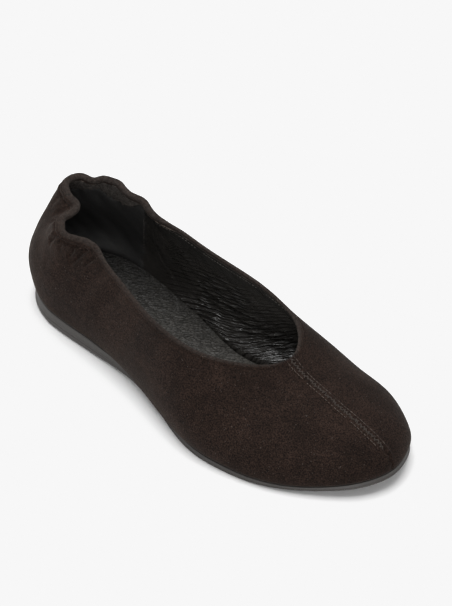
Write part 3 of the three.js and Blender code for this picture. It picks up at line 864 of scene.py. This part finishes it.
def build_edge_threads(flat):
    """Stitches inside: along the lining's top edge, and up the two front edges of the heel counter."""
    wall = flat.wall
    live = ~wall.shut
    spot, normal = (wall.at_depth(flat.face + 1.5, field)[live, 0] for field in (wall.points, wall.normal))
    line = spot - normal * (WALL + 0.11)
    steps = lengths(line)
    count = int(steps[-1] / EDGE_PITCH)
    d = (np.arange(count) + 0.5) * steps[-1] / count
    ahead = read_at(d + 0.4, steps, line) - read_at(d - 0.4, steps, line)
    pieces = [(read_at(d, steps, line), ahead, -read_at(d, steps, normal))]
    for place in COUNTER_ENDS:
        i = wall.nearest(place)[0]
        depth = np.arange(from_table(FACING, place)[0] + 6.0, wall.depth[i, 0] - 4.5, COUNTER_PITCH)
        full = np.broadcast_to(depth, (wall.count, len(depth)))
        spot, normal = (wall.at_depth(full, field)[i] for field in (wall.points, wall.normal))
        step = np.gradient(spot, axis=0)
        forward = unit(np.cross(step, normal))
        forward *= np.sign(forward[:, :1])
        pieces.append((spot - normal * (WALL + 0.55) - forward * 0.9, step, -normal))
    joined = (np.vstack([piece[k] for piece in pieces]) for k in range(3))
    return threads("lining_stitches", *joined, 1.45, 0.17, 0.06)


def build_bead(flat):
    """Thin cord laid inside under the edge all round the opening: one long round bar with tapering ends."""
    wall = flat.wall
    start = THROAT_PLACE + 0.4
    pick = np.where((wall.place > start) & (wall.place < ROUND - start) & ~wall.shut)[0]
    fields = (wall.points, wall.normal, flat.suede_thickness()[..., None])
    spot, normal, inside = (wall.at_depth(2.5 + 1.3 * flat.share, field)[pick, 0] for field in fields)
    spine = spot - normal * (inside + 0.16)
    ahead = unit(np.gradient(spine, axis=0))
    side = np.cross(ahead, normal)
    out = np.cross(side, ahead)
    number = np.arange(len(pick))
    radius = BEAD * np.clip(np.minimum(number, number[::-1]) / 12, 0.15, 1)
    return round_bars("heel_bead", spine[None], side[None], out[None], radius)


class Finish:
    """A material being made: each method adds a node and gives back the output that others are joined to."""

    def __init__(self, name):
        self.material = bpy.data.materials.new(name)
        self.material.use_nodes = True
        self.tree = self.material.node_tree
        self.where = self.node("ShaderNodeTexCoord", {}).outputs["Object"]

    def fill(self, node, sockets):
        """Sets each socket to its constant value, or links it where the value is another node's output."""
        for label, value in sockets.items():
            if isinstance(value, bpy.types.NodeSocket):
                self.tree.links.new(value, node.inputs[label])
            else:
                node.inputs[label].default_value = value

    def node(self, kind, sockets, **settings):
        """A new node with its settings and sockets."""
        node = self.tree.nodes.new(kind)
        for label, value in settings.items():
            setattr(node, label, value)
        self.fill(node, sockets)
        return node

    def done(self, sockets):
        """Fills the shader's own sockets and gives back the material."""
        self.fill(self.tree.nodes["Principled BSDF"], sockets)
        return self.material

    def noise(self, scale, detail, rough, distort=0.0, vector=None, output="Fac"):
        """Noise whose features are about 1 / scale metres across."""
        sockets = {"Scale": scale, "Detail": detail, "Roughness": rough, "Distortion": distort,
                   "Vector": vector or self.where}
        return self.node("ShaderNodeTexNoise", sockets).outputs[output]

    def mapped(self, vector, scale, turn=(0, 0, 0)):
        """Coordinates scaled differently along each axis, after a turn."""
        sockets = {"Scale": scale, "Rotation": turn, "Vector": vector}
        return self.node("ShaderNodeMapping", sockets).outputs["Vector"]

    def warped(self, vector, scale, amount):
        """Coordinates pushed about by a noise."""
        push = self.noise(scale, 3, 0.55, vector=vector, output="Color")
        sockets = {0: push, 1: (amount,) * 3, 2: vector}
        return self.node("ShaderNodeVectorMath", sockets, operation="MULTIPLY_ADD").outputs["Vector"]

    def cells(self, vector, scale):
        """Distance to the nearest edge inside each cell of an uneven net."""
        sockets = {"Scale": scale, "Vector": vector}
        return self.node("ShaderNodeTexVoronoi", sockets, feature="DISTANCE_TO_EDGE").outputs["Distance"]

    def named(self, label):
        """Value stored on the mesh under a name."""
        return self.node("ShaderNodeAttribute", {}, attribute_name=label).outputs["Fac"]

    def waves(self, vector, scale, distortion, wander):
        """Quasi-parallel bands across the second axis that wander, join and part."""
        sockets = {"Scale": scale, "Distortion": distortion, "Detail": 2.0, "Detail Scale": wander,
                   "Detail Roughness": 0.5, "Vector": vector}
        return self.node("ShaderNodeTexWave", sockets, bands_direction="Y").outputs["Fac"]

    def forward(self):
        """How far a point lies along the shoe."""
        return self.node("ShaderNodeSeparateXYZ", {0: self.where}).outputs["X"]

    def between(self, value, low, high, out_low=0.0, out_high=1.0):
        """Value mapped from one range to another and held inside it."""
        sockets = {"From Min": low, "From Max": high, "To Min": out_low, "To Max": out_high, "Value": value}
        return self.node("ShaderNodeMapRange", sockets).outputs["Result"]

    def maths(self, operation, one, two):
        """Sum, product or the like of two values."""
        return self.node("ShaderNodeMath", {0: one, 1: two}, operation=operation).outputs["Value"]

    def product(self, *values):
        """Product of several values, from left to right."""
        return reduce(lambda one, two: self.maths("MULTIPLY", one, two), values)

    def ramp(self, factor, *stops):
        """Colour ramp between (position, tone) stops; a tone is a linear colour or one number for a grey."""
        node = self.node("ShaderNodeValToRGB", {"Fac": factor})
        line = node.color_ramp
        line.elements[1].position = stops[-1][0]
        for position, _ in stops[1:-1]:
            line.elements.new(position)
        for element, (position, tone) in zip(line.elements, stops):
            element.position = position
            element.color = (*tone, 1) if isinstance(tone, tuple) else (tone, tone, tone, 1)
        return node.outputs["Color"]

    def mix(self, kind, factor, one, two):
        """Mix of two colours; the factor is a number or a socket."""
        sockets = {0: factor, 6: one, 7: two}
        return self.node("ShaderNodeMix", sockets, data_type="RGBA", blend_type=kind).outputs[2]

    def toned(self, colour, factor, *stops):
        """The colour times a ramp."""
        return self.mix("MULTIPLY", 1.0, colour, self.ramp(factor, *stops))

    def bump(self, height, strength, distance, *normal):
        """Bump on a height of `distance` metres, on top of another one where it is given."""
        sockets = {"Strength": strength, "Distance": distance, "Height": height}
        sockets.update({"Normal": below for below in normal})
        return self.node("ShaderNodeBump", sockets).outputs["Normal"]


def tinted(colour, share):
    """The colour made lighter or darker."""
    return tuple(c * share for c in colour)


def suede_material(tone):
    """Brushed suede: clouds where the nap lies differently, short fibres, light specks, a soft sheen, and a
    lighter, greyer facing and top edge that are partly the facing's own tone and partly painted light.
    """
    f = Finish("Brown Suede")
    cloud = f.noise(48, 4, 0.6, 0.8)
    colour = f.ramp(cloud, (0.30, tinted(tone, 0.68)), (0.5, tone), (0.70, tinted(tone, 1.36)))
    brushed = f.noise(520, 3, 0.65, vector=f.mapped(f.where, (0.5, 1.0, 1.6), (0.2, 0.4, 0.5)))
    colour = f.toned(colour, brushed, (0.3, 0.84), (0.7, 1.18))
    colour = f.toned(colour, f.noise(1500, 2, 0.7), (0.36, 0.22), (0.64, (1.95, 1.90, 1.82)))
    speck = f.between(f.noise(1300, 1, 0.4), 0.71, 0.79)
    colour = f.mix("MIX", f.product(speck, 0.6), colour, (0.095, 0.08, 0.07, 1))
    # Lighter grey mixed in where the facing value is set. On the facing inside the heel edge this is partly
    # its own tone and partly painted light for the shade there; along the top edge it is a painted highlight.
    facing_tone_and_painted_light = f.ramp(f.noise(620, 3, 0.6), (0.35, (0.030, 0.027, 0.025)), (0.65, (0.082, 0.074, 0.068)))
    colour = f.mix("MIX", f.product(f.named("facing"), 0.8), colour, facing_tone_and_painted_light)
    nap = f.bump(f.noise(1500, 3, 0.7), 0.7, 0.0003)
    nap = f.bump(f.noise(330, 3, 0.6), 0.4, 0.0005, nap)
    nap = f.bump(f.noise(70, 2, 0.5), 0.3, 0.0016, nap)
    return f.done({"Base Color": colour, "Normal": nap, "Roughness": 0.95, "Specular IOR Level": 0.1,
                   "Sheen Weight": 0.05, "Sheen Roughness": 0.4, "Sheen Tint": (0.8, 0.68, 0.6, 1)})


def rubber_material(tone):
    """Moulded rubber: matt dark grey with a faint mottle and dust in its grain."""
    f = Finish("Sole Rubber")
    mottle = f.noise(120, 4, 0.6)
    colour = f.ramp(mottle, (0.3, tinted(tone, 0.86)), (0.7, tinted(tone, 1.12)))
    colour = f.toned(colour, f.noise(1600, 2, 0.6), (0.35, 0.85), (0.7, 1.18))
    grain = f.bump(f.noise(1800, 3, 0.6), 0.3, 0.00012)
    return f.done({"Base Color": colour, "Normal": grain, "Roughness": f.between(mottle, 0.3, 0.7, 0.5, 0.68),
                   "Specular IOR Level": 0.4})


def lining_material(tone):
    """Crinkled black leather: long wavy wrinkles rising to the toe, fine pores, a matt counter roughened by
    rubbing, and a lighter tone lower down the wall that is painted light.
    """
    f = Finish("Lining Leather")
    matte, away_from_edge = f.named("matte"), f.named("away_from_edge")
    leather = f.ramp(f.noise(38, 4, 0.6, 0.5), (0.3, tinted(tone, 0.75)), (0.7, tinted(tone, 1.25)))
    # Lighter lower down the wall, where the lining faces up to the light: painted light.
    leather = f.mix("MULTIPLY", away_from_edge, leather, (1.9, 1.85, 1.8, 1))
    stops = ((at, tinted(tone, share)) for at, share in ((0.42, 0.55), (0.60, 0.85), (0.72, 1.3)))
    colour = f.mix("MIX", matte, leather, f.ramp(f.noise(45, 5, 0.7, 0.6), *stops))
    lay = f.node("ShaderNodeUVMap", {}, uv_map="Lay").outputs["UV"]
    lay = f.mapped(lay, (1, 1, 1), (0, 0, 0.42))
    long_folds = f.waves(f.mapped(lay, (0.5, 1, 1)), 122, 4.5, 0.8)
    short_folds = f.waves(f.mapped(lay, (0.8, 1, 1)), 240, 5.5, 0.9)
    breaks = f.between(f.noise(170, 2, 0.5, vector=f.mapped(lay, (0.4, 1, 1))), 0.34, 0.56)
    fold = f.product(f.between(long_folds, 0.30, 0.98), breaks)
    small = f.product(f.between(short_folds, 0.1, 0.9), 0.34)
    forward = f.forward()
    front = f.between(forward, -0.066, -0.045)
    toe = f.between(forward, 0.01, 0.05, 1.0, 0.28)
    patchy = f.between(f.noise(45, 2, 0.5), 0.34, 0.52, 0.35, 1.0)
    height = f.product(f.maths("ADD", fold, small), f.product(front, toe, patchy, away_from_edge))
    pores = f.bump(f.noise(2200, 3, 0.65), 0.3, 0.0001)
    shape = f.bump(f.noise(170, 3, 0.6, vector=lay), 0.3, 0.0008, pores)
    return f.done({"Base Color": colour, "Normal": f.bump(height, 1.0, 0.00092, shape),
                   "Roughness": f.between(matte, 0.0, 1.0, 0.29, 0.72), "Specular IOR Level": 0.8})


def insole_material(tone):
    """Pebbled leather: small rounded grains drawn out across the foot, shallow wrinkles and a half-gloss,
    with painted shade darkening it towards the heel.
    """
    f = Finish("Insole Leather")
    cloud = f.noise(50, 4, 0.6)
    across = f.mapped(f.where, (1, 1, 1), (0, 0, -0.82))
    pebbles = f.cells(f.warped(f.mapped(across, (0.55, 1, 1)), 700, 0.0012), 760)
    ripples = f.cells(f.warped(f.mapped(across, (0.30, 1, 1)), 200, 0.004), 520)
    grain, wrinkle = f.between(pebbles, 0.0, 0.28), f.between(ripples, 0.0, 0.3)
    colour = f.ramp(cloud, (0.3, tinted(tone, 0.82)), (0.7, tinted(tone, 1.2)))
    # Darker at the heel and lighter from the middle forward: painted shade in the deep heel cup.
    colour = f.toned(colour, f.between(f.forward(), -0.095, 0.01), (0.0, 0.52), (1.0, 1.42))
    colour = f.toned(colour, grain, (0.0, 0.42), (0.6, 1.2))
    normal = f.bump(f.noise(2400, 3, 0.6), 0.35, 0.0001)
    normal = f.bump(grain, 0.8, 0.00030, normal)
    normal = f.bump(wrinkle, 0.9, 0.00075, normal)
    return f.done({"Base Color": colour, "Normal": normal,
                   "Roughness": f.between(cloud, 0.3, 0.7, 0.44, 0.56),
                   "Specular IOR Level": 0.4})


def thread_material(name, tone):
    """Twisted thread: fine dark ply lines and a slight gloss."""
    f = Finish(name)
    ply = f.noise(2600, 2, 0.5)
    return f.done({"Base Color": f.ramp(ply, (0.35, tinted(tone, 0.55)), (0.65, tinted(tone, 1.25))),
                   "Normal": f.bump(ply, 0.5, 0.0001), "Roughness": 0.7, "Specular IOR Level": 0.12})


def floor_material():
    """Pale, matt floor with a very faint unevenness."""
    f = Finish("Pale Floor")
    return f.done({"Base Color": f.ramp(f.noise(3, 2, 0.5), (0.3, 0.895), (0.7, 0.905)),
                   "Roughness": 0.9, "Specular IOR Level": 0.1})


def place_camera(scene, settings):
    """Camera at an azimuth, elevation and distance from its aim, rolled about its own axis."""
    lens = bpy.data.cameras.new("Camera")
    camera = bpy.data.objects.new("Camera", lens)
    scene.collection.objects.link(camera)
    a, e = math.radians(settings.azimuth), math.radians(settings.elevation)
    back = Vector((math.sin(a) * math.cos(e), -math.cos(a) * math.cos(e), math.sin(e)))
    turn = (-back).to_track_quat("-Z", "Y").to_matrix().to_4x4()
    roll = Matrix.Rotation(math.radians(settings.roll), 4, "Z")
    aim = Vector((AIM + SHIFT) / 1000)
    camera.matrix_world = Matrix.Translation(aim + back * settings.distance) @ turn @ roll
    lens.sensor_width = 36
    lens.lens = settings.lens
    lens.clip_end = 20
    scene.camera = camera


def lay_floor(scene):
    """Square floor at the height of the ground."""
    h = FLOOR_HALF
    mesh = bpy.data.meshes.new("floor")
    mesh.from_pydata([(-h, -h, 0), (h, -h, 0), (h, h, 0), (-h, h, 0)], [], [(0, 1, 2, 3)])
    ground = bpy.data.objects.new("floor", mesh)
    scene.collection.objects.link(ground)
    ground.data.materials.append(floor_material())


def light_scene(scene, settings):
    """Even white light from all round, and two area lights turned to the shoe."""
    world = bpy.data.worlds.new("Studio")
    world.use_nodes = True
    world.node_tree.nodes["Background"].inputs["Color"].default_value = (1, 1, 1, 1)
    world.node_tree.nodes["Background"].inputs["Strength"].default_value = settings.sky
    scene.world = world
    for (name, place, size), power in zip(LIGHTS, (settings.key, settings.fill)):
        data = bpy.data.lights.new(name, "AREA")
        data.size = size
        data.energy = power
        light = bpy.data.objects.new(name, data)
        light.location = place
        light.rotation_mode = "QUATERNION"
        light.rotation_quaternion = (-Vector(place)).to_track_quat("-Z", "Y")
        scene.collection.objects.link(light)


def set_view(view):
    """Plain view transform with the brightest tones held a little below white."""
    view.view_transform = "Standard"
    view.use_curve_mapping = True
    view.curve_mapping.extend = "HORIZONTAL"
    curve = view.curve_mapping.curves[3]
    for bright in (0.82, 0.9):
        curve.points.new(bright, bright)
    curve.points[len(curve.points) - 1].location = (1.0, 0.93)
    view.curve_mapping.update()


def colour_setting(name, description, default):
    """A colour setting in linear light."""
    return FloatVectorProperty(name=name, description=description, default=default, subtype="COLOR", size=3,
                               min=0, max=1)


class FlatSettings(bpy.types.PropertyGroup):
    """Sizes and colours of the flat that a user would change"""

    step: FloatProperty(name="Mesh Step", description="Spacing of the upper's mesh along the sole, in mm",
                        default=0.85, min=0.4, max=4.0)
    rows: IntProperty(name="Mesh Rows", description="Rows of the upper's mesh from the sole to the edge",
                      default=72, min=60, max=120)
    suede: colour_setting("Suede", "Middle tone of the brushed suede", (0.0120, 0.0073, 0.0057))
    rubber: colour_setting("Rubber", "Colour of the sole", (0.046, 0.042, 0.039))
    insole: colour_setting("Insole", "Colour of the insole's leather", (0.041, 0.0382, 0.0338))
    lining: colour_setting("Lining", "Colour of the lining's leather", (0.0130, 0.0121, 0.0112))
    thread: colour_setting("Seam Thread", "Colour of the seam's stitches", (0.056, 0.045, 0.038))
    fine: colour_setting("Lining Thread", "Colour of the stitches inside", (0.11, 0.10, 0.09))


class StageSettings(bpy.types.PropertyGroup):
    """Camera and light"""

    azimuth: FloatProperty(name="Azimuth", description="Way round to the camera, in degrees",
                           default=46.92069)
    elevation: FloatProperty(name="Elevation", description="Height of the camera, in degrees",
                             default=40.0)
    roll: FloatProperty(name="Roll", description="Turn of the camera about its own axis, in degrees",
                        default=-0.188143)
    distance: FloatProperty(name="Distance", description="Camera to its aim", default=2.847167, unit="LENGTH")
    lens: FloatProperty(name="Lens", description="Focal length in millimetres on a sensor 36 mm high",
                        default=320.88)
    sky: FloatProperty(name="Sky", description="Strength of the even light from all round",
                       default=0.32, min=0)
    key: FloatProperty(name="Key Light", description="Power of the large light above and behind",
                       default=60.0,
                       min=0, unit="POWER")
    fill: FloatProperty(name="Fill Light", description="Power of the light from the camera's side",
                        default=33.0, min=0, unit="POWER")


class FLAT_OT_upper(bpy.types.Operator):
    """Build the suede upper with its seam and its gathered heel edge"""
    bl_idname = "flat.upper"
    bl_label = "Suede Upper"

    def execute(self, context):
        settings = context.scene.flat_settings
        obj = build_suede(flat_of(settings.step, settings.rows))
        finish_piece(obj, suede_material(tuple(settings.suede)), "suede", "upper")
        return {"FINISHED"}


class FLAT_OT_lining(bpy.types.Operator):
    """Build the leather lining behind the suede"""
    bl_idname = "flat.lining"
    bl_label = "Lining"

    def execute(self, context):
        settings = context.scene.flat_settings
        obj = build_lining(flat_of(settings.step, settings.rows))
        finish_piece(obj, lining_material(tuple(settings.lining)), "insole_leather")
        return {"FINISHED"}


class FLAT_OT_sole(bpy.types.Operator):
    """Build the rubber sole"""
    bl_idname = "flat.sole"
    bl_label = "Sole"

    def execute(self, context):
        rubber = rubber_material(tuple(context.scene.flat_settings.rubber))
        finish_piece(build_sole(), rubber, "sole_rubber", "outsole")
        return {"FINISHED"}


class FLAT_OT_insole(bpy.types.Operator):
    """Build the leather insole"""
    bl_idname = "flat.insole"
    bl_label = "Insole"

    def execute(self, context):
        leather = insole_material(tuple(context.scene.flat_settings.insole))
        finish_piece(build_insole(), leather, "insole_leather", "insole")
        return {"FINISHED"}


class FLAT_OT_stitches(bpy.types.Operator):
    """Sew the centre seam, the lining's top edge and the heel counter, and lay the bead"""
    bl_idname = "flat.stitches"
    bl_label = "Stitches"

    def execute(self, context):
        settings = context.scene.flat_settings
        flat = flat_of(settings.step, settings.rows)
        seam, fine = tuple(settings.thread), tuple(settings.fine)
        rows, zigzag = build_seam_threads(flat)
        finish_piece(rows, thread_material("Seam Thread", tinted(seam, 1.4)), "suede")
        finish_piece(zigzag, thread_material("Zigzag Thread", tinted(seam, 0.72)), "suede")
        finish_piece(build_edge_threads(flat), thread_material("Lining Thread", fine), "insole_leather")
        finish_piece(build_bead(flat), thread_material("Bead Cord", tinted(seam, 2.8)), "suede")
        return {"FINISHED"}


class FLAT_OT_stage(bpy.types.Operator):
    """Set the pale floor, the soft studio light and the camera"""
    bl_idname = "flat.stage"
    bl_label = "Stage"

    def execute(self, context):
        scene = context.scene
        place_camera(scene, scene.flat_stage)
        lay_floor(scene)
        light_scene(scene, scene.flat_stage)
        set_view(scene.view_settings)
        return {"FINISHED"}


class FLAT_PT_panel(bpy.types.Panel):
    """Lists the flat's operators and settings"""
    bl_label = "Gathered Ballet Flat"
    bl_idname = "FLAT_PT_panel"
    bl_space_type = "VIEW_3D"
    bl_region_type = "UI"
    bl_category = "Flat"

    def draw(self, context):
        column = self.layout.column(align=True)
        for operator in OPERATORS:
            column.operator(operator.bl_idname)
        for group in (context.scene.flat_settings, context.scene.flat_stage):
            box = self.layout.box()
            for name in group.bl_rna.properties.keys():
                if name not in ("rna_type", "name"):
                    box.prop(group, name)


OPERATORS = (FLAT_OT_upper, FLAT_OT_lining, FLAT_OT_sole, FLAT_OT_insole, FLAT_OT_stitches, FLAT_OT_stage)
CLASSES = (FlatSettings, StageSettings, *OPERATORS, FLAT_PT_panel)


def register():
    for cls in CLASSES:
        bpy.utils.register_class(cls)
    bpy.types.Scene.flat_settings = PointerProperty(type=FlatSettings)
    bpy.types.Scene.flat_stage = PointerProperty(type=StageSettings)


def unregister():
    del bpy.types.Scene.flat_stage
    del bpy.types.Scene.flat_settings
    for cls in reversed(CLASSES):
        bpy.utils.unregister_class(cls)


def main():
    register()
    bpy.ops.flat.upper()
    bpy.ops.flat.lining()
    bpy.ops.flat.sole()
    bpy.ops.flat.insole()
    bpy.ops.flat.stitches()
    bpy.ops.flat.stage()


if __name__ == "__main__":
    main()
